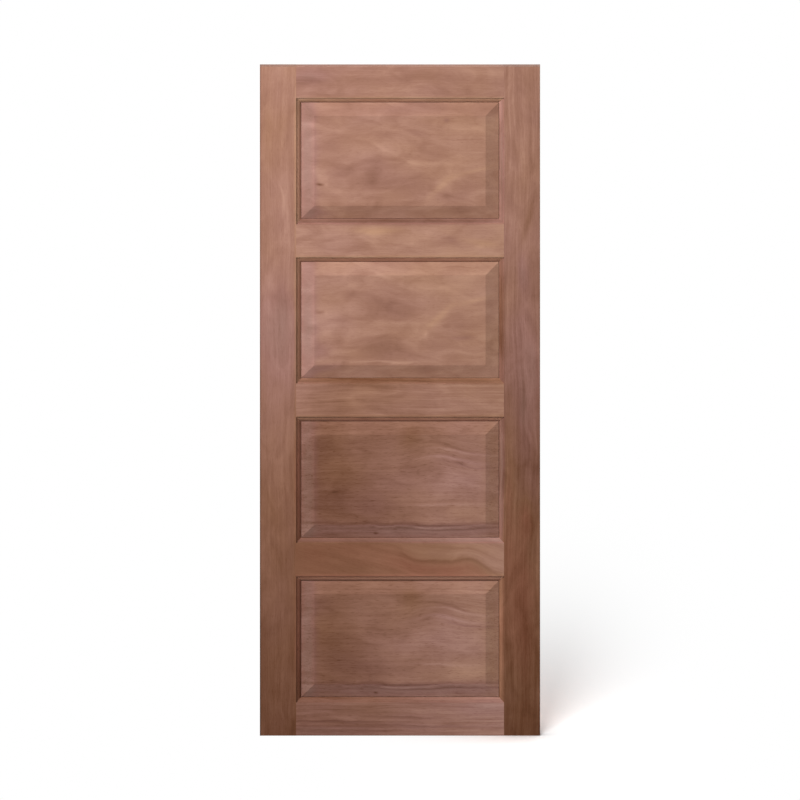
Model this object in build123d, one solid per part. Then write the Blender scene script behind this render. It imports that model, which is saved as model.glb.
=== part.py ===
"""Four-panel hardwood door leaf, framed with wedged through tenons.

Frame, in millimetres: X runs across the leaf from the hinge edge, Y through its thickness
from the front (negative) to the back, and Z up from the bottom edge. The origin lies on the
hinge edge, at its foot, in the middle of the thickness.
"""

from build123d import *
import os

# Leaf
leaf_width = 838.0
leaf_height = 2032.0
leaf_thickness = 40.0

# Boards of the frame, measured over their moulded edges
stile_width = 123.0
top_rail_width = 110.0
cross_rail_width = 131.0
bottom_rail_width = 116.0

# Ovolo moulding worked along the inner edges of the frame, on both faces
moulding_width = 15.0
moulding_quirk = 3.5
moulding_lip = 1.5

# Groove in the inner edges, and the raised panels that float in it
groove_width = 12.0
groove_depth = 12.0
panel_thickness = 36.0
panel_bevel = 40.0
bevel_foot_thickness = 19.0
panel_shoulder_gap = 0.8
panel_cheek_clearance = 0.2
panel_edge_clearance = 2.0

# Through tenons, each tightened by two wedges driven in from the edge of the stile
tenon_thickness = 12.0
tenon_set_in = 30.0
edge_haunch = 36.0
wedge_head = 6.0
wedge_tip = 1.5
mortise_straight = 31.0

# Eased outer corners of the leaf
arris = 1.0

# Cutters pass this far beyond the faces that they cut
cutter_overrun = 5.0

# Names, from the bottom of the leaf to the top
cross_rail_names = ["lower_rail", "lock_rail", "frieze_rail"]
panel_names = ["bottom_panel", "lower_panel", "upper_panel", "top_panel"]

# Sizes that follow from the ones above
half_thickness = leaf_thickness / 2
sight_width = leaf_width - 2 * stile_width
rail_total = top_rail_width + bottom_rail_width + len(cross_rail_names) * cross_rail_width
sight_height = (leaf_height - rail_total) / len(panel_names)
stile_face = stile_width - moulding_width
wedge_length = stile_width - groove_depth - mortise_straight


def edge_waste():
    """What the moulder removes from a board's edge at u = 0, with the wood at negative u."""
    lip_top = groove_width / 2 + moulding_lip
    ovolo_top = half_thickness - moulding_quirk
    outside = cutter_overrun
    above = half_thickness + cutter_overrun
    ovolo = TangentArc((-moulding_width, ovolo_top), (0, lip_top), tangent=(1, 0))
    corner = Polyline(
        (0, lip_top), (outside, lip_top), (outside, above), (-moulding_width, above), ovolo @ 0
    )
    front = make_face([*ovolo.edges(), *corner.edges()])
    groove_run = groove_depth + cutter_overrun
    groove = Pos((cutter_overrun - groove_depth) / 2, 0) * Rectangle(groove_run, groove_width)
    return front + mirror(front, Plane.XZ) + groove


def board_section(width, moulded_low, moulded_high):
    """Section of a frame board: u from 0 to width, v through the thickness."""
    section = Pos(width / 2, 0) * Rectangle(width, leaf_thickness)
    if moulded_high:
        section -= Pos(width, 0) * edge_waste()
    if moulded_low:
        section -= mirror(edge_waste(), Plane.YZ)
    return section


def stile_blank():
    """The hinge stile before its mortises are cut."""
    blank = extrude(board_section(stile_width, False, True), leaf_height)
    outer_corners = blank.edges().filter_by(Axis.Z).group_by(Axis.X)[0]
    return fillet(outer_corners, arris)


def to_lock_side(shape):
    """A hinge-side shape turned half round about the leaf's upright centre line."""
    return Pos(leaf_width, 0, 0) * Rot(0, 0, 180) * shape


def tenon_edges(low, width, moulded_low, moulded_high):
    """Heights of a tenon's two edges, set in from moulded edges and haunched at outer ones."""
    foot = low + (tenon_set_in if moulded_low else edge_haunch)
    head = low + width - (tenon_set_in if moulded_high else edge_haunch)
    return foot, head


def tenon(foot, head):
    """The hinge-side tenon, from the edge of the stile to the moulded edge."""
    size = (stile_width, tenon_thickness, head - foot)
    return Pos(0, 0, foot) * Box(*size, align=(Align.MIN, Align.CENTER, Align.MIN))


def wedge(seat, outward):
    """A hinge-side wedge on the tenon's edge at height seat, thickening up (1) or down (-1)."""
    tip = seat + outward * wedge_tip
    head = seat + outward * wedge_head
    outline = Polyline((0, seat), (wedge_length, seat), (wedge_length, tip), (0, head), close=True)
    return extrude(Plane.XZ * make_face(outline), tenon_thickness / 2, both=True)


def rail_blank(stile, low, width, moulded_low, moulded_high):
    """A rail between the stiles' faces, each end scribed over a stile's moulding and groove."""
    section_plane = Plane((stile_face, 0, low), x_dir=(0, 0, 1), z_dir=(1, 0, 0))
    section = board_section(width, moulded_low, moulded_high)
    half = extrude(section_plane * section, leaf_width / 2 - stile_face)
    for moulded, outermost in ((moulded_low, 0), (moulded_high, -1)):
        if not moulded:
            outer_corners = half.edges().filter_by(Axis.X).group_by(Axis.Z)[outermost]
            half = fillet(outer_corners, arris)
    half -= stile
    return half + to_lock_side(half)


def panel_section(span):
    """Section of a panel between two facing boards: tongue, shoulder, bevel and field, on both faces."""
    tongue = groove_width / 2 - panel_cheek_clearance
    reach = span / 2 + groove_depth - panel_edge_clearance
    shoulder = span / 2 - panel_shoulder_gap
    foot = bevel_foot_thickness / 2
    field = span / 2 - panel_bevel
    top = panel_thickness / 2
    rebate = [(reach, 0), (reach, tongue), (shoulder, tongue), (shoulder, foot)]
    quarter = make_face(Polyline((0, 0), *rebate, (field, top), (0, top), close=True))
    half = quarter + mirror(quarter, Plane.YZ)
    return half + mirror(half, Plane.XZ)


def raised_panel(sight_low):
    """A panel worked to the same section along all four edges, so that the bevels mitre."""
    upright = Plane((0, 0, 0), x_dir=(0, 0, 1), z_dir=(1, 0, 0))
    worked_across = extrude(panel_section(sight_width), sight_height / 2 + groove_depth, both=True)
    worked_upright = extrude(
        upright * panel_section(sight_height), sight_width / 2 + groove_depth, both=True
    )
    return Pos(leaf_width / 2, 0, sight_low + sight_height / 2) * (worked_across & worked_upright)


def rail_layout():
    """Each rail's name, low edge, width, and whether its low and high edges are moulded."""
    rails = [("bottom_rail", 0, bottom_rail_width, False, True)]
    for index, name in enumerate(cross_rail_names):
        low = bottom_rail_width + (index + 1) * sight_height + index * cross_rail_width
        rails.append((name, low, cross_rail_width, True, True))
    rails.append(("top_rail", leaf_height - top_rail_width, top_rail_width, True, False))
    return rails


def build():
    """Every piece of the leaf, by name."""
    pieces = {}
    blank = stile_blank()
    hinge_stile = blank
    for name, *board in rail_layout():
        foot, head = tenon_edges(*board)
        peg = tenon(foot, head)
        pieces[name] = rail_blank(blank, *board) + peg + to_lock_side(peg)
        hinge_stile -= peg
        for place, seat, outward in (("upper", head, 1), ("lower", foot, -1)):
            piece = wedge(seat, outward)
            hinge_stile -= piece
            pieces[f"{name}_hinge_{place}_wedge"] = piece
            pieces[f"{name}_lock_{place}_wedge"] = to_lock_side(piece)
    pieces["hinge_stile"] = hinge_stile
    pieces["lock_stile"] = to_lock_side(hinge_stile)
    for index, name in enumerate(panel_names):
        sight_low = bottom_rail_width + index * (sight_height + cross_rail_width)
        pieces[name] = raised_panel(sight_low)
    return pieces


os.makedirs("parts", exist_ok=True)
for node, shape in build().items():
    export_step(shape, f"parts/{node}.step")
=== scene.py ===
"""Looks of the panel door leaf: sanded red hardwood, board by board, in a white studio."""

import math
from dataclasses import dataclass, replace

import bpy
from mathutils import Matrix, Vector


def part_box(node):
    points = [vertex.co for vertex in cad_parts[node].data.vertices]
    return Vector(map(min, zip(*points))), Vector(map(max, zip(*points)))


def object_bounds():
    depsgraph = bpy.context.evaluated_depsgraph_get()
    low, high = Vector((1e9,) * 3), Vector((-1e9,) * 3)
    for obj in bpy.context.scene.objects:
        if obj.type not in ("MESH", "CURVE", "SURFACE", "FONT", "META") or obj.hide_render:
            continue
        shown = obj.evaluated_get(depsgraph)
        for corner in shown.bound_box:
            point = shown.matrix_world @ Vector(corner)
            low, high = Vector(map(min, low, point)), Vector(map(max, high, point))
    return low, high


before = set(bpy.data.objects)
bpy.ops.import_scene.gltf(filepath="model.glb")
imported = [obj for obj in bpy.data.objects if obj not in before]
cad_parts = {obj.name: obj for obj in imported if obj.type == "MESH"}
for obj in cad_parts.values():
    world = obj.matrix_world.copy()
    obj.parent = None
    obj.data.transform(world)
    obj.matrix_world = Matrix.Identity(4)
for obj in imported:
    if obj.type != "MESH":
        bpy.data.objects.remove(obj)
cad_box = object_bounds()

# Tones of the timber, from its darkest streaks to its palest flame, as sRGB values
TIMBER_TONES = (
    (64, 37, 22),
    (101, 62, 42),
    (130, 89, 71),
    (157, 114, 96),
    (186, 143, 123),
    (206, 168, 148),
)

# Casts over those tones, as factors on linear red, green and blue
RUST_CAST = (1.08, 0.88, 0.80)
TAN_CAST = (1.00, 1.00, 0.86)
PINK_CAST = (1.01, 1.01, 1.16)
GREY_CAST = (0.97, 1.09, 1.27)
CAST_SPREAD = 0.9
CAST_SEED = 3.1

# Rates of the patterns in the wood, per metre along and across the grain
WANDER_RATES = (2.2, 3.0)
MOTTLING_RATES = (9.0, 20.0)
CAST_RATES = (5.0, 9.0)
STREAK_RATES = (4.0, 110.0)
FLECK_RATES = (45.0, 420.0)
FIBRE_RATES = (14.0, 620.0)
PORE_RATES = (70.0, 1500.0)

# Noise values between which flecks darken, and above which the wood has a pore
FLECK_NOISE = (0.10, 0.20)
PORE_NOISE = 0.13
PORE_SHADE = 0.06

# Outlines of the figure's marks are ragged by this share of the mottling, in metres
RAGGEDNESS = 0.02

# Sawn ends are told by how squarely a surface faces along the grain
END_FACING = (0.7, 0.95)
END_SHADE = 0.8

# Surface: shares of the relief, its depth in metres, and a roughness that follows the streaks' noise
STREAK_RELIEF = 0.6
PORE_RELIEF = 0.5
BUMP_STRENGTH = 0.25
BUMP_DEPTH = 0.0006
STREAK_NOISE = (-0.3, 0.3)
ROUGHNESS = (0.58, 0.74)
SPECULAR = 0.15

# Painted light and shade along the moulded edges, in metres in from the edge of the board, and their
# reach
LIP_INSET = 0.0015
LIP_WIDTH = 0.004
HINGE_ROUND_INSET = 0.010
LOCK_ROUND_INSET = 0.0065
RAIL_FOOT_ROUND_INSET = 0.009
RAIL_HEAD_ROUND_INSET = 0.006
ROUND_WIDTH = 0.008
BELOW_STEP_INSET = 0.0138
ABOVE_STEP_INSET = 0.0165
STEP_WIDTH = 0.0018
STILE_TONE_REACH = 0.22
RAIL_TONE_REACH = 0.50

# Painted light and shade along the panels' bevels, in metres
BEVEL_INSET = 0.030
BEVEL_WIDTH = 0.022
SIDE_BEVEL_REACH = 0.250
LEVEL_BEVEL_REACH = 0.400

# Dark line on the outer corner of the hinge stile, in metres
ARRIS_INSET = 0.0018
ARRIS_WIDTH = 0.0013
ARRIS_REACH = 3.0
ARRIS_SHADE = -0.30

# Camera, in degrees and metres; PIXEL is what one of the photo's pixels covers
CAMERA_ELEVATION = 10.0
CAMERA_DISTANCE = 6.0
CAMERA_RANGE = 100.0
PIXEL = 0.002991
FRAME_PIXELS = 800

# White studio: strengths of its light, and lengths in metres from under the middle of the leaf
WHITE = (1.0, 1.0, 1.0, 1.0)
AMBIENT = 0.18
FLOOR_HALF_SIDE = 20.0
FLOOR_BOUNCE = 0.2
FLOOR_WHITE = 3.7
SHADOW_CENTRE = (0.42, 0.4)
SHADOW_REACH = (0.26, 1.5)
# Reach of the painted contact shadow, ambient occlusion that darkens the floor's colour
PAINTED_CONTACT_SHADOW_REACH = 0.25


@dataclass
class Lamp:
    """A square soft light; its direction is from the leaf, and lengths are in metres."""

    direction: tuple
    distance: float
    size: float
    watts: float
    lights_floor: bool


LAMPS = {
    "key_light": Lamp((-1.40, -1.0, 1.2), 6.5, 1.3, 520, lights_floor=False),
    "fill_light": Lamp((-0.12, -1.0, 0.55), 6.5, 1.6, 120, lights_floor=True),
    "back_light": Lamp((0.5, 1.0, 0.35), 6.0, 3.0, 300, lights_floor=False),
}


@dataclass
class Mark:
    """A soft oval in a board's figure, in metres along and across the grain from its low corner."""

    along: float
    across: float
    length: float
    width: float
    shade: float
    pink: float = 0.0
    slope: float = 0.0


@dataclass
class Swirl:
    """A place where the grain lifts over something buried in the board, in metres."""

    along: float
    across: float
    length: float
    width: float
    rise: float


@dataclass
class Board:
    """How one board was sawn, what its figure shows and the light and shade painted on its mouldings;
    lengths in metres.
    """

    seed: float
    levels: tuple
    casts: tuple
    upright: bool = False
    pith_across: float = 0.05
    pith_depth: float = 0.12
    tilt: float = 0.0
    band_width: float = 0.012
    bands: float = 0.10
    drift: float = 0.020
    streaks: float = 0.12
    fibres: float = 0.08
    flecks: float = 0.04
    mottling: float = 0.10
    swirls: tuple = ()
    marks: tuple = ()
    # Painted light and shade along the mouldings, and the hinge stile's dark arris line
    edges: tuple = ()


def span(name):
    """A node's size along each axis."""
    low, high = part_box(name)
    return high - low


# Stiles start at the foot of the leaf and rails at its hinge edge, so places along them are Z and X
LEAF_LOW, LEAF_HIGH = cad_box
LEAF_MIDDLE = (LEAF_LOW + LEAF_HIGH) / 2
STILE_WIDTH = span("hinge_stile").x
CROSS_RAIL_WIDTH = span("lock_rail").z
BOTTOM_RAIL_WIDTH = span("bottom_rail").z
PANEL = span("top_panel")


def raised(marks, rise):
    """The same marks further up a board that was cut from the same flitch."""
    return tuple(replace(mark, across=mark.across + rise) for mark in marks)


def bevel(side, shade, pink=0.0):
    """Painted light and shade all along one bevel of a panel."""
    places = {
        "left": (BEVEL_INSET, PANEL.z / 2, BEVEL_WIDTH, SIDE_BEVEL_REACH),
        "right": (PANEL.x - BEVEL_INSET, PANEL.z / 2, BEVEL_WIDTH, SIDE_BEVEL_REACH),
        "top": (PANEL.x / 2, PANEL.z - BEVEL_INSET, LEVEL_BEVEL_REACH, BEVEL_WIDTH),
        "bottom": (PANEL.x / 2, BEVEL_INSET, LEVEL_BEVEL_REACH, BEVEL_WIDTH),
    }
    return Mark(*places[side], shade, pink)


def beside(panel, across, width, shade, pink):
    """A painted tone of light and shade along a stile's moulding, beside one panel."""
    low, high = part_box(panel)
    return Mark((low.z + high.z) / 2, across, STILE_TONE_REACH, width, shade, pink)


def hinge_moulding_painted_shading(panel, round_painted_shading, lip_painted_light, pink):
    """Painted light on the hinge stile's moulding beside a panel, where it lies in shadow: on its round
    and its lip.
    """
    return (
        beside(panel, STILE_WIDTH - HINGE_ROUND_INSET, ROUND_WIDTH, round_painted_shading, pink),
        beside(panel, STILE_WIDTH - LIP_INSET, LIP_WIDTH, lip_painted_light, pink),
    )


def lock_moulding_painted_shading(panel, shade, pink):
    """Painted light and shade on the lock stile's moulding beside a panel."""
    return beside(panel, LOCK_ROUND_INSET, ROUND_WIDTH, shade, pink)


def painted_shading_along_rail(across, width, shade, pink=0.0):
    """Painted light and shade all along a rail."""
    return Mark(LEAF_MIDDLE.x, across, RAIL_TONE_REACH, width, shade, pink)


def rail_foot_painted_shading(round_painted_shading, lip_painted_light, pink, above_step_painted_shade, below_step_painted_light):
    """Painted light and shade on a rail's lower moulding, which lies in shadow: its round, its lip
    lightened, and both sides of the step to the face, darkened above and lightened below.
    """
    return (
        painted_shading_along_rail(RAIL_FOOT_ROUND_INSET, ROUND_WIDTH, round_painted_shading, pink),
        painted_shading_along_rail(LIP_INSET, LIP_WIDTH, lip_painted_light, pink),
        painted_shading_along_rail(ABOVE_STEP_INSET, STEP_WIDTH, above_step_painted_shade),
        painted_shading_along_rail(BELOW_STEP_INSET, STEP_WIDTH, below_step_painted_light),
    )


def rail_head_painted_shade(rail_width, shade, pink=0.0):
    """Painted shade darkening a rail's upper moulding."""
    return painted_shading_along_rail(rail_width - RAIL_HEAD_ROUND_INSET, ROUND_WIDTH, shade, pink)


# The two upper panels share a figure, which lies higher in the second
UPPER_MARKS = (
    Mark(0.087, 0.119, 0.006, 0.005, 0.07),
    Mark(0.270, 0.135, 0.110, 0.055, -0.10, 0.2),
    Mark(0.225, 0.145, 0.040, 0.030, -0.05),
    Mark(0.155, 0.165, 0.012, 0.022, -0.05, 0.0, -0.8),
    Mark(0.425, 0.108, 0.052, 0.011, 0.09, -0.25, 0.95),
    Mark(0.530, 0.158, 0.060, 0.008, 0.05, -0.2, 0.25),
    Mark(0.480, 0.085, 0.050, 0.030, -0.07, 0.1),
    Mark(0.445, 0.080, 0.012, 0.008, -0.09),
    Mark(0.355, 0.272, 0.036, 0.009, -0.09, 0.1, -0.4),
    Mark(0.240, 0.300, 0.080, 0.006, -0.05, 0.0, -0.2),
    Mark(0.250, 0.232, 0.050, 0.006, 0.06, 0.0, -0.45),
    Mark(0.340, 0.190, 0.050, 0.006, 0.05, 0.0, -0.3),
    Mark(0.444, 0.310, 0.008, 0.007, -0.10, 0.4),
    Mark(0.490, 0.253, 0.070, 0.002, -0.08),
    Mark(0.100, 0.225, 0.040, 0.006, -0.05),
    Mark(0.190, 0.335, 0.120, 0.020, 0.03),
    Mark(0.075, 0.085, 0.050, 0.030, 0.04, 0.1),
)
UPPER_RISE = 0.093
TOP_PANEL_MARKS = (
    Mark(0.067, 0.119, 0.011, 0.0042, -0.36),
    # Painted light and shade on the bevels; the grey cast on the left bevel is a painted sheen
    bevel("left", -0.08, 1.4),
    bevel("top", -0.09, 0.2),
    bevel("bottom", -0.08),
    Mark(0.060, 0.030, 0.040, 0.015, -0.04, 0.5),
)
UPPER_PANEL_MARKS = (
    Mark(0.066, 0.214, 0.012, 0.0045, -0.13),
    # Painted light and shade on the bevels; the grey cast on the left bevel is a painted sheen
    bevel("left", -0.07, 1.3),
    bevel("bottom", -0.06),
    Mark(0.245, 0.115, 0.090, 0.045, -0.10),
    Mark(0.300, 0.085, 0.200, 0.040, -0.06),
    Mark(0.250, 0.152, 0.040, 0.006, 0.05),
    Mark(0.258, 0.061, 0.105, 0.004, 0.15),
    Mark(0.384, 0.148, 0.006, 0.008, 0.10),
    Mark(0.490, 0.131, 0.035, 0.006, -0.06, 0.3),
    Mark(0.070, 0.098, 0.030, 0.025, -0.09, 0.5),
    Mark(0.075, 0.040, 0.050, 0.012, -0.06, 0.5, 0.25),
)
UPPER_GRAIN = dict(bands=0.03, drift=0.012, streaks=0.03, fibres=0.035, mottling=0.18)

# The two lower panels share a figure at the same height
LOWER_SWIRLS = (Swirl(0.415, 0.270, 0.085, 0.070, 0.026),)
LOWER_MARKS = (
    Mark(0.490, 0.258, 0.110, 0.0050, 0.13, 0.2),
    Mark(0.460, 0.232, 0.100, 0.0045, 0.12, 0.3),
    Mark(0.520, 0.222, 0.080, 0.0025, -0.10, 0.3),
    Mark(0.440, 0.275, 0.075, 0.006, -0.13, 0.0, -0.18),
    Mark(0.341, 0.309, 0.032, 0.034, -0.09, -0.3),
    Mark(0.072, 0.296, 0.030, 0.035, -0.05, 0.2),
    Mark(0.100, 0.220, 0.080, 0.080, -0.06, -0.25),
    Mark(0.110, 0.120, 0.070, 0.055, -0.11, 0.1),
    Mark(0.215, 0.105, 0.080, 0.045, -0.07, 0.4),
    Mark(0.280, 0.170, 0.080, 0.035, 0.04, 0.2),
    Mark(0.470, 0.190, 0.120, 0.070, 0.04, 0.3),
    Mark(0.500, 0.095, 0.070, 0.022, 0.06, -0.2),
    Mark(0.430, 0.110, 0.100, 0.003, 0.09, 0.2),
    Mark(0.330, 0.052, 0.400, 0.006, -0.16, 0.2),
    Mark(0.420, 0.037, 0.260, 0.003, -0.16, 0.3),
    Mark(0.350, 0.045, 0.300, 0.003, 0.10, 0.2),
    Mark(0.2345, 0.0225, 0.007, 0.0035, -0.30),
    Mark(0.370, 0.270, 0.080, 0.050, -0.04, -0.2),
    Mark(0.450, 0.120, 0.140, 0.070, 0.04),
    # Painted light and shade on the bevels; the grey cast on the left bevel is a painted sheen
    bevel("left", 0.02, 1.8),
    bevel("right", -0.03, -0.3),
    bevel("bottom", 0.08, 0.8),
)
LOWER_GRAIN = dict(
    band_width=0.010, bands=0.06, streaks=0.10, fibres=0.06, flecks=0.12, mottling=0.15,
    swirls=LOWER_SWIRLS, marks=LOWER_MARKS,
)

HINGE_STILE_MARKS = (
    Mark(1.980, 0.050, 0.080, 0.045, 0.06, 0.1),
    Mark(1.850, 0.025, 0.120, 0.018, 0.01, -0.2),
    Mark(1.580, 0.084, 0.180, 0.012, 0.07),
    Mark(1.300, 0.070, 0.120, 0.020, -0.05, 0.3),
    Mark(1.210, 0.055, 0.150, 0.070, 0.02, 0.9),
    Mark(0.730, 0.055, 0.160, 0.070, -0.035, -0.3),
)
# Painted light on the hinge stile's shaded mouldings, their rust cast a painted warm bounce light, and a
# dark arris line
HINGE_STILE_PAINTED_SHADING_AND_ARRIS = (
    *hinge_moulding_painted_shading("top_panel", 0.31, 0.25, -1.2),
    *hinge_moulding_painted_shading("upper_panel", 0.10, 0.25, -1.4),
    *hinge_moulding_painted_shading("lower_panel", 0.01, 0.18, -1.4),
    *hinge_moulding_painted_shading("bottom_panel", 0.15, 0.15, -1.4),
    Mark(LEAF_MIDDLE.z, ARRIS_INSET, ARRIS_REACH, ARRIS_WIDTH, ARRIS_SHADE),
)
LOCK_STILE_MARKS = (
    Mark(1.780, 0.095, 0.160, 0.008, -0.09),
    Mark(1.800, 0.119, 0.250, 0.005, -0.08),
    Mark(1.560, 0.088, 0.060, 0.010, -0.13, -0.2, 0.25),
    Mark(1.405, 0.075, 0.060, 0.016, -0.05, 0.7),
    Mark(1.620, 0.050, 0.035, 0.004, 0.07),
    Mark(1.490, 0.054, 0.060, 0.003, 0.08),
    Mark(1.110, 0.100, 0.100, 0.015, 0.05, 0.5),
    Mark(1.005, 0.066, 0.060, 0.010, -0.06, 0.4),
    Mark(0.665, 0.085, 0.070, 0.025, -0.02, -0.8),
    Mark(1.000, 0.075, 0.250, 0.025, -0.02, 0.6),
    Mark(0.700, 0.100, 0.150, 0.014, -0.06, 0.4),
    Mark(0.780, 0.025, 0.220, 0.020, 0.02, -0.6),
    Mark(0.250, 0.080, 0.260, 0.015, -0.08, -0.2),
    Mark(0.780, 0.060, 0.140, 0.060, -0.06),
    Mark(0.430, 0.060, 0.300, 0.080, 0.01, -0.8),
)
# Painted light and shade on the lock stile's mouldings
LOCK_STILE_PAINTED_SHADING = (
    lock_moulding_painted_shading("top_panel", -0.16, 1.3),
    lock_moulding_painted_shading("upper_panel", -0.33, -0.1),
    lock_moulding_painted_shading("lower_panel", 0.00, 1.8),
    lock_moulding_painted_shading("bottom_panel", 0.20, -0.1),
)
TOP_RAIL_MARKS = (
    Mark(0.150, 0.085, 0.060, 0.022, -0.06, 0.7),
    Mark(0.350, 0.040, 0.250, 0.012, 0.05),
    Mark(0.480, 0.080, 0.120, 0.015, -0.02),
)
# Painted light and shade on the top rail's moulding, its rust cast a painted warm bounce light
TOP_RAIL_PAINTED_SHADING = rail_foot_painted_shading(0.06, 0.45, -0.9, above_step_painted_shade=-0.02, below_step_painted_light=0.32)
FRIEZE_RAIL_MARKS = (
    Mark(0.220, 0.070, 0.060, 0.006, -0.06, 0.0, 0.2),
    Mark(0.570, 0.070, 0.030, 0.010, -0.06, 0.2, -0.6),
    Mark(0.660, 0.060, 0.060, 0.012, 0.06, -0.3, -0.2),
    Mark(0.350, 0.095, 0.080, 0.012, 0.05, -0.4),
)
# Painted light and shade on the frieze rail's mouldings, the lower one's rust cast a painted warm bounce
# light
FRIEZE_RAIL_PAINTED_SHADING = (
    *rail_foot_painted_shading(-0.06, 0.50, -1.2, above_step_painted_shade=-0.03, below_step_painted_light=0.42),
    rail_head_painted_shade(CROSS_RAIL_WIDTH, -0.41, 1.2),
)
LOCK_RAIL_MARKS = (
    Mark(0.330, 0.065, 0.110, 0.070, -0.06, -0.2),
    Mark(0.600, 0.070, 0.060, 0.030, 0.05),
)
# Painted light and shade on the lock rail's mouldings, the lower one's rust cast a painted warm bounce
# light
LOCK_RAIL_PAINTED_SHADING = (
    *rail_foot_painted_shading(0.09, 0.60, -1.2, above_step_painted_shade=-0.16, below_step_painted_light=0.32),
    rail_head_painted_shade(CROSS_RAIL_WIDTH, -0.30, -0.4),
)
LOWER_RAIL_SWIRLS = (
    Swirl(0.632, 0.055, 0.052, 0.060, 0.028),
    Swirl(0.468, 0.060, 0.045, 0.060, -0.013),
)
LOWER_RAIL_MARKS = (
    Mark(0.300, 0.160, 0.350, 0.300, -0.01, -0.7),
    Mark(0.560, 0.180, 0.200, 0.006, -0.12),
    Mark(0.580, 0.155, 0.160, 0.024, -0.06, -0.9),
    Mark(0.660, 0.205, 0.160, 0.014, 0.05, 0.1),
    Mark(0.600, 0.226, 0.110, 0.005, -0.05),
    Mark(0.680, 0.245, 0.140, 0.012, 0.05),
)
# Painted light and shade on the lower rail's mouldings, the lower one's rust cast a painted warm bounce
# light
LOWER_RAIL_PAINTED_SHADING = (
    *rail_foot_painted_shading(0.44, 0.70, -1.4, above_step_painted_shade=-0.18, below_step_painted_light=0.24),
    rail_head_painted_shade(CROSS_RAIL_WIDTH, -0.10, 2.0),
)
BOTTOM_RAIL_MARKS = (
    Mark(0.220, 0.040, 0.120, 0.004, -0.12, 0.5),
    Mark(0.200, 0.014, 0.140, 0.014, -0.05, 0.8),
    Mark(0.430, 0.058, 0.120, 0.003, -0.10, 0.2),
    Mark(0.500, 0.030, 0.160, 0.004, -0.09, 0.4),
    Mark(0.680, 0.090, 0.080, 0.020, 0.06, 0.5),
)
# Painted shade on the bottom rail's moulding
BOTTOM_RAIL_PAINTED_SHADE = (rail_head_painted_shade(BOTTOM_RAIL_WIDTH, -0.13),)

# Levels and casts run along the grain, evenly spaced from a board's low end to its high end
BOARDS = {
    "hinge_stile": Board(
        11.3, (0.22, 0.38, 0.54, 0.60, 0.57), (0.3, 0.3, 0.55, 0.5, 0.4), upright=True,
        streaks=0.08, mottling=0.14, marks=HINGE_STILE_MARKS, edges=HINGE_STILE_PAINTED_SHADING_AND_ARRIS,
    ),
    "lock_stile": Board(
        23.9, (0.23, 0.37, 0.45, 0.61, 0.60), (0.25, 0.3, 0.85, 0.5, 0.4), upright=True,
        pith_across=0.40, band_width=0.010, streaks=0.11, mottling=0.16,
        marks=LOCK_STILE_MARKS, edges=LOCK_STILE_PAINTED_SHADING,
    ),
    "top_rail": Board(
        31.7, (0.55, 0.65), (0.65, 0.4), streaks=0.05, mottling=0.18,
        marks=TOP_RAIL_MARKS, edges=TOP_RAIL_PAINTED_SHADING,
    ),
    "frieze_rail": Board(
        47.1, (0.615, 0.725), (0.6, 0.25), bands=0.05, streaks=0.05, mottling=0.18,
        marks=FRIEZE_RAIL_MARKS, edges=FRIEZE_RAIL_PAINTED_SHADING,
    ),
    "lock_rail": Board(
        53.3, (0.51, 0.68), (0.6, 0.2), pith_across=0.5, band_width=0.009, streaks=0.15, mottling=0.16,
        marks=LOCK_RAIL_MARKS, edges=LOCK_RAIL_PAINTED_SHADING,
    ),
    "lower_rail": Board(
        67.9, (0.34, 0.46, 0.77), (0.3, 0.3, 0.6), tilt=-0.227, bands=0.03, drift=0.012, streaks=0.05,
        fibres=0.05, swirls=LOWER_RAIL_SWIRLS, marks=LOWER_RAIL_MARKS, edges=LOWER_RAIL_PAINTED_SHADING,
    ),
    "bottom_rail": Board(
        71.1, (0.38, 0.50, 0.78), (0.6, 0.7, 0.8), pith_across=0.4, band_width=0.010, bands=0.12,
        streaks=0.24, flecks=0.08, marks=BOTTOM_RAIL_MARKS, edges=BOTTOM_RAIL_PAINTED_SHADE,
    ),
    "top_panel": Board(
        83.7, (0.615, 0.68), (0.5, 0.45, 0.25), marks=UPPER_MARKS + TOP_PANEL_MARKS, **UPPER_GRAIN
    ),
    "upper_panel": Board(
        83.8, (0.65, 0.70), (0.5, 0.4, 0.25),
        marks=raised(UPPER_MARKS, UPPER_RISE) + UPPER_PANEL_MARKS, **UPPER_GRAIN,
    ),
    "lower_panel": Board(97.3, (0.36, 0.47, 0.645), (0.4, 0.45, 0.55), **LOWER_GRAIN),
    "bottom_panel": Board(97.4, (0.40, 0.52, 0.70), (0.4, 0.4, 0.5), **LOWER_GRAIN),
}
WEDGE = Board(5.2, (0.66, 0.66), (0.5, 0.5))


def opaque(colour):
    """A colour of three values, with full alpha."""
    return (*colour, 1.0)


def grey(value):
    """The same value in red, green and blue."""
    return (value, value, value)


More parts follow.
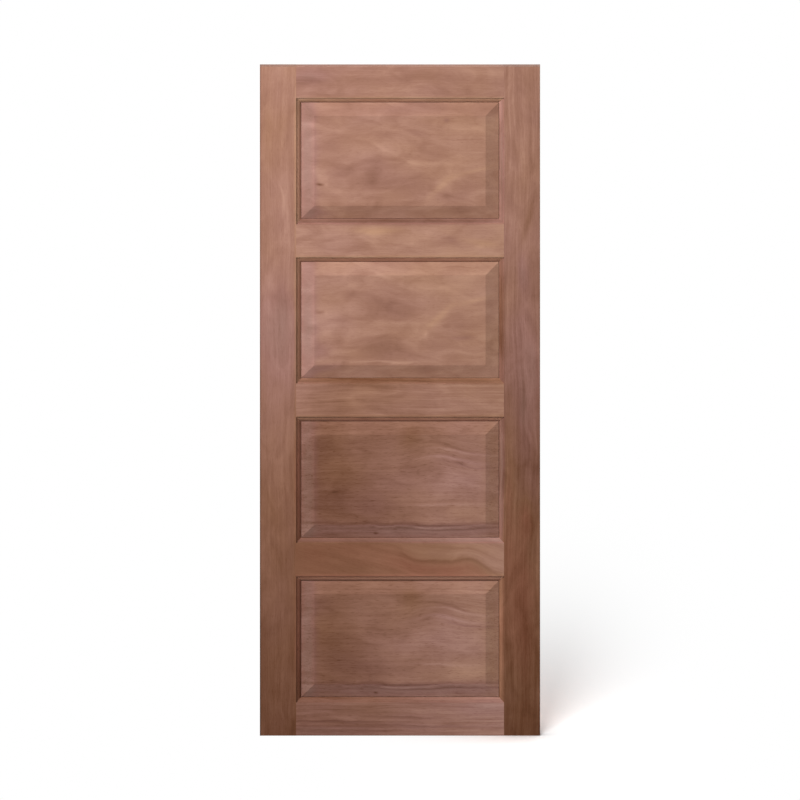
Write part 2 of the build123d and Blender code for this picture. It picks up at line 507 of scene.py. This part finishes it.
class Graph:
    """Adds nodes to a shader tree. A value is a number, a tuple or another node's output."""

    def __init__(self, tree):
        self.tree = tree
        tree.nodes.clear()

    def feed(self, socket, value):
        """Link an output to a socket, or set the socket's own value."""
        if isinstance(value, bpy.types.NodeSocket):
            self.tree.links.new(value, socket)
        else:
            socket.default_value = value

    def node(self, kind, settings=None, **inputs):
        """A new node; the names of its inputs are given with _ for each space."""
        made = self.tree.nodes.new("ShaderNode" + kind)
        for name, value in (settings or {}).items():
            setattr(made, name, value)
        for name, value in inputs.items():
            self.feed(made.inputs[name.replace("_", " ")], value)
        return made

    def math(self, operation, first, second=0.0):
        made = self.node("Math", {"operation": operation})
        self.feed(made.inputs[0], first)
        self.feed(made.inputs[1], second)
        return made.outputs[0]

    def total(self, *terms):
        result = terms[0]
        for term in terms[1:]:
            result = self.math("ADD", result, term)
        return result

    def scaled(self, value, factor):
        return self.math("MULTIPLY", value, factor)

    def squares(self, first, second):
        """The sum of two squares."""
        return self.total(self.math("MULTIPLY", first, first), self.math("MULTIPLY", second, second))

    def bell(self, square):
        """1 where a squared distance is 0, falling smoothly to 0 as it grows."""
        return self.math("POWER", 1 / math.e, square)

    def rise(self, value, start, end=(0.0, 1.0)):
        """A value that goes through the end range while its source goes through the start range."""
        limits = dict(From_Min=start[0], From_Max=start[1], To_Min=end[0], To_Max=end[1])
        return self.node("MapRange", Value=value, **limits).outputs[0]

    def vector(self, x, y, z):
        return self.node("CombineXYZ", X=x, Y=y, Z=z).outputs[0]

    def mix(self, kind, factor, first, second):
        """Two colours mixed; a Mix node's colours are its inputs 6 and 7 and its output 2."""
        made = self.node("Mix", {"data_type": "RGBA", "blend_type": kind})
        self.feed(made.inputs[0], factor)
        self.feed(made.inputs[6], first)
        self.feed(made.inputs[7], second)
        return made.outputs[2]

    def ramp(self, value, stops, interpolation):
        """A colour ramp with evenly spaced stops."""
        made = self.node("ValToRGB", Fac=value)
        made.color_ramp.interpolation = interpolation
        elements = made.color_ramp.elements
        while len(elements) < len(stops):
            elements.new(0.5)
        for index, colour in enumerate(stops):
            elements[index].position = index / (len(stops) - 1)
            elements[index].color = opaque(colour)
        return made.outputs[0]

    def shader_mix(self, factor, first, second):
        made = self.node("MixShader", Fac=factor)
        self.feed(made.inputs[1], first.outputs[0])
        self.feed(made.inputs[2], second.outputs[0])
        return made.outputs[0]


def linear(srgb):
    """A colour given as sRGB values from 0 to 255, in linear light."""
    shares = [value / 255 for value in srgb]
    return tuple(s / 12.92 if s <= 0.04045 else ((s + 0.055) / 1.055) ** 2.4 for s in shares)


def oval(graph, place, spot, slope=0.0):
    """1 at the middle of a mark or swirl, falling smoothly to 0 outside it."""
    mapped = graph.node(
        "Mapping",
        {"vector_type": "TEXTURE"},
        Vector=place,
        Location=(spot.along, spot.across, 0.0),
        Rotation=(0.0, 0.0, math.atan(slope)),
        Scale=(spot.length, spot.width, 1.0),
    )
    square = graph.node("VectorMath", {"operation": "DOT_PRODUCT"})
    graph.feed(square.inputs[0], mapped.outputs[0])
    graph.feed(square.inputs[1], mapped.outputs[0])
    return graph.bell(square.outputs["Value"])


def grain_noise(graph, place, rates, detail=2.0, roughness=0.5, distortion=0.0):
    """Noise stretched along the grain, about -0.5 to 0.5; rates are per metre along and across it."""
    along, across, depth = place
    along_rate, across_rate = rates
    stretched = graph.vector(
        graph.scaled(along, along_rate),
        graph.scaled(across, across_rate),
        graph.scaled(depth, across_rate),
    )
    made = graph.node(
        "TexNoise",
        Vector=stretched,
        Scale=1.0,
        Detail=detail,
        Roughness=roughness,
        Distortion=distortion,
    )
    return graph.math("SUBTRACT", made.outputs[0], 0.5)


def timber(name, board, low, high):
    """The wood of one board that lies between two corners."""
    material = bpy.data.materials.new(name)
    material.use_nodes = True
    graph = Graph(material.node_tree)
    coordinates = graph.node("TexCoord")
    local = graph.node("VectorMath", {"operation": "SUBTRACT"})
    graph.feed(local.inputs[0], coordinates.outputs["Object"])
    graph.feed(local.inputs[1], low)
    x, depth, z = graph.node("SeparateXYZ", Vector=local.outputs[0]).outputs
    along, across = (z, x) if board.upright else (x, z)
    length = high.z - low.z if board.upright else high.x - low.x
    share = graph.scaled(along, 1 / length)

    # Grain that slants, wanders and runs round swirls
    seeded = graph.total(along, board.seed)
    straight = graph.vector(along, across, 0.0)
    wander = grain_noise(graph, (seeded, across, depth), WANDER_RATES)
    turned = graph.total(across, graph.scaled(along, -board.tilt), graph.scaled(wander, 2 * board.drift))
    for swirl in board.swirls:
        turned = graph.total(turned, graph.scaled(oval(graph, straight, swirl), -swirl.rise))
    place = (seeded, turned, depth)

    # Growth bands round a pith that lies beside or under the board
    sideways = graph.math("SUBTRACT", turned, board.pith_across)
    under = graph.total(depth, board.pith_depth)
    radius = graph.math("SQRT", graph.squares(sideways, under))
    band = graph.node(
        "TexNoise",
        {"noise_dimensions": "1D"},
        W=graph.total(graph.scaled(radius, 1 / board.band_width), board.seed),
        Scale=1.0,
        Detail=3.0,
        Roughness=0.6,
    )
    bands = graph.math("SUBTRACT", band.outputs[0], 0.5)

    streaks = grain_noise(graph, place, STREAK_RATES, detail=3.0, roughness=0.6)
    fibres = grain_noise(graph, place, FIBRE_RATES)
    mottling = grain_noise(graph, place, MOTTLING_RATES, detail=3.0, distortion=0.9)
    flecks = graph.rise(grain_noise(graph, place, FLECK_RATES, detail=1.0), FLECK_NOISE)
    pores = graph.math("GREATER_THAN", grain_noise(graph, place, PORE_RATES, detail=1.0), PORE_NOISE)

    shade = graph.total(
        graph.ramp(share, [grey(level) for level in board.levels], "B_SPLINE"),
        graph.scaled(bands, 2 * board.bands),
        graph.scaled(streaks, 2 * board.streaks),
        graph.scaled(fibres, 2 * board.fibres),
        graph.scaled(mottling, 2 * board.mottling),
        graph.scaled(flecks, -board.flecks),
        graph.scaled(pores, -PORE_SHADE),
    )

    # Casts drift through the boards: rust below 0, tan at 0, pink at 1 and grey above
    hue = grain_noise(graph, (graph.total(seeded, CAST_SEED), turned, depth), CAST_RATES)
    cast = graph.total(
        graph.ramp(share, [grey(value) for value in board.casts], "B_SPLINE"),
        graph.scaled(hue, CAST_SPREAD),
    )

    # Marks of the figure follow the grain with ragged outlines, and the edge tones, painted light and
    # shade on the mouldings and a dark arris line, run straight
    blur = graph.scaled(mottling, RAGGEDNESS)
    figured = graph.vector(graph.total(along, blur), graph.total(turned, blur), 0.0)
    placed = [(figured, mark) for mark in board.marks] + [(straight, mark) for mark in board.edges]
    for spot, mark in placed:
        strength = oval(graph, spot, mark, mark.slope)
        shade = graph.total(shade, graph.scaled(strength, mark.shade))
        if mark.pink:
            cast = graph.total(cast, graph.scaled(strength, mark.pink))

    colour = graph.ramp(shade, [linear(tone) for tone in TIMBER_TONES], "LINEAR")
    tint = graph.mix("MIX", cast, opaque(TAN_CAST), opaque(PINK_CAST))
    tint = graph.mix("MIX", graph.scaled(cast, -1.0), tint, opaque(RUST_CAST))
    tint = graph.mix("MIX", graph.math("SUBTRACT", cast, 1.0), tint, opaque(GREY_CAST))
    colour = graph.mix("MULTIPLY", 1.0, colour, tint)

    # Sawn ends drink more finish and look darker
    normal = graph.node("SeparateXYZ", Vector=coordinates.outputs["Normal"]).outputs
    facing = graph.math("ABSOLUTE", normal["Z" if board.upright else "X"])
    sawn = graph.rise(facing, END_FACING)
    colour = graph.mix("MULTIPLY", sawn, colour, opaque(grey(END_SHADE)))

    relief = graph.total(fibres, graph.scaled(streaks, STREAK_RELIEF), graph.scaled(pores, -PORE_RELIEF))
    bump = graph.node("Bump", Height=relief, Strength=BUMP_STRENGTH, Distance=BUMP_DEPTH)
    shader = graph.node(
        "BsdfPrincipled",
        Base_Color=colour,
        Roughness=graph.rise(streaks, STREAK_NOISE, ROUGHNESS),
        Specular_IOR_Level=SPECULAR,
        Normal=bump.outputs[0],
    )
    graph.node("OutputMaterial", Surface=shader.outputs[0])
    return material


def dress_boards():
    """Give every node the wood of its board."""
    for name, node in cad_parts.items():
        low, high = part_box(name)
        board = BOARDS.get(name, WEDGE)
        node.material_slots[0].material = timber(name + "_wood", board, low, high)


def white_for_camera(graph):
    """1 for rays that show the background, straight or in a reflection."""
    path = graph.node("LightPath").outputs
    seen = graph.math("MAXIMUM", path["Is Camera Ray"], path["Is Glossy Ray"])
    return graph.math("MAXIMUM", seen, path["Is Transmission Ray"])


def light_world():
    """A dim even light, seen as plain white."""
    world = bpy.data.worlds.new("studio")
    world.use_nodes = True
    graph = Graph(world.node_tree)
    ambient = graph.node("Background", Color=WHITE, Strength=AMBIENT)
    white = graph.node("Background", Color=WHITE, Strength=1.0)
    graph.node("OutputWorld", Surface=graph.shader_mix(white_for_camera(graph), ambient, white))
    bpy.context.scene.world = world


def floor_material():
    """White ground that keeps the leaf's soft shadow beside it, has a painted contact shadow near the
    leaf and is plain white further off.
    """
    material = bpy.data.materials.new("studio_floor")
    material.use_nodes = True
    graph = Graph(material.node_tree)
    place = graph.node("SeparateXYZ", Vector=graph.node("TexCoord").outputs["Object"]).outputs
    sideways = graph.scaled(graph.math("SUBTRACT", place["X"], SHADOW_CENTRE[0]), 1 / SHADOW_REACH[0])
    behind = graph.scaled(graph.math("SUBTRACT", place["Y"], SHADOW_CENTRE[1]), 1 / SHADOW_REACH[1])
    plain = graph.math("SUBTRACT", 1.0, graph.bell(graph.squares(sideways, behind)))
    seen = white_for_camera(graph)
    # Painted contact shadow: ambient occlusion darkens the floor's colour near the leaf
    painted_contact_shadow = graph.node("AmbientOcclusion", Distance=PAINTED_CONTACT_SHADOW_REACH).outputs["AO"]
    paint = graph.mix("MIX", seen, opaque(grey(FLOOR_BOUNCE)), graph.scaled(painted_contact_shadow, FLOOR_WHITE))
    ground = graph.node("BsdfDiffuse", Color=paint)
    white = graph.node("Emission", Color=WHITE, Strength=1.0)
    mixed = graph.shader_mix(graph.math("MULTIPLY", plain, seen), ground, white)
    graph.node("OutputMaterial", Surface=mixed)
    return material


def lay_floor(foot):
    """A wide floor centred under the leaf."""
    side = FLOOR_HALF_SIDE
    mesh = bpy.data.meshes.new("studio_floor")
    corners = [(-side, -side, 0), (side, -side, 0), (side, side, 0), (-side, side, 0)]
    mesh.from_pydata(corners, [], [(0, 1, 2, 3)])
    mesh.materials.append(floor_material())
    floor = bpy.data.objects.new("studio_floor", mesh)
    floor.location = foot
    bpy.context.scene.collection.objects.link(floor)
    return floor


def hang_light(name, target, lamp):
    """A lamp that shines on the target and isn't seen itself."""
    light = bpy.data.lights.new(name, "AREA")
    light.shape = "SQUARE"
    light.size = lamp.size
    light.energy = lamp.watts
    holder = bpy.data.objects.new(name, light)
    away = Vector(lamp.direction).normalized()
    holder.location = target + away * lamp.distance
    holder.rotation_euler = away.to_track_quat("Z", "Y").to_euler()
    holder.visible_camera = False
    bpy.context.scene.collection.objects.link(holder)
    return holder


def shade_from(light, piece):
    """Keep a light off one piece."""
    unlit = bpy.data.collections.new(light.name + "_unlit")
    unlit.objects.link(piece)
    unlit.collection_objects[0].light_linking.link_state = "EXCLUDE"
    light.light_linking.receiver_collection = unlit


def set_camera(target):
    """A parallel view, as in the photo, from a little above."""
    lens = bpy.data.cameras.new("camera")
    lens.type = "ORTHO"
    lens.ortho_scale = PIXEL * FRAME_PIXELS
    lens.clip_end = CAMERA_RANGE
    holder = bpy.data.objects.new("camera", lens)
    elevation = math.radians(CAMERA_ELEVATION)
    away = Vector((0.0, -math.cos(elevation), math.sin(elevation)))
    holder.location = target + away * CAMERA_DISTANCE
    holder.rotation_euler = away.to_track_quat("Z", "Y").to_euler()
    bpy.context.scene.collection.objects.link(holder)
    bpy.context.scene.camera = holder


dress_boards()
floor = lay_floor(Vector((LEAF_MIDDLE.x, LEAF_MIDDLE.y, LEAF_LOW.z)))
light_world()
for lamp_name, lamp in LAMPS.items():
    light = hang_light(lamp_name, LEAF_MIDDLE, lamp)
    if not lamp.lights_floor:
        shade_from(light, floor)
set_camera(LEAF_MIDDLE)
bpy.context.scene.view_settings.view_transform = "Standard"
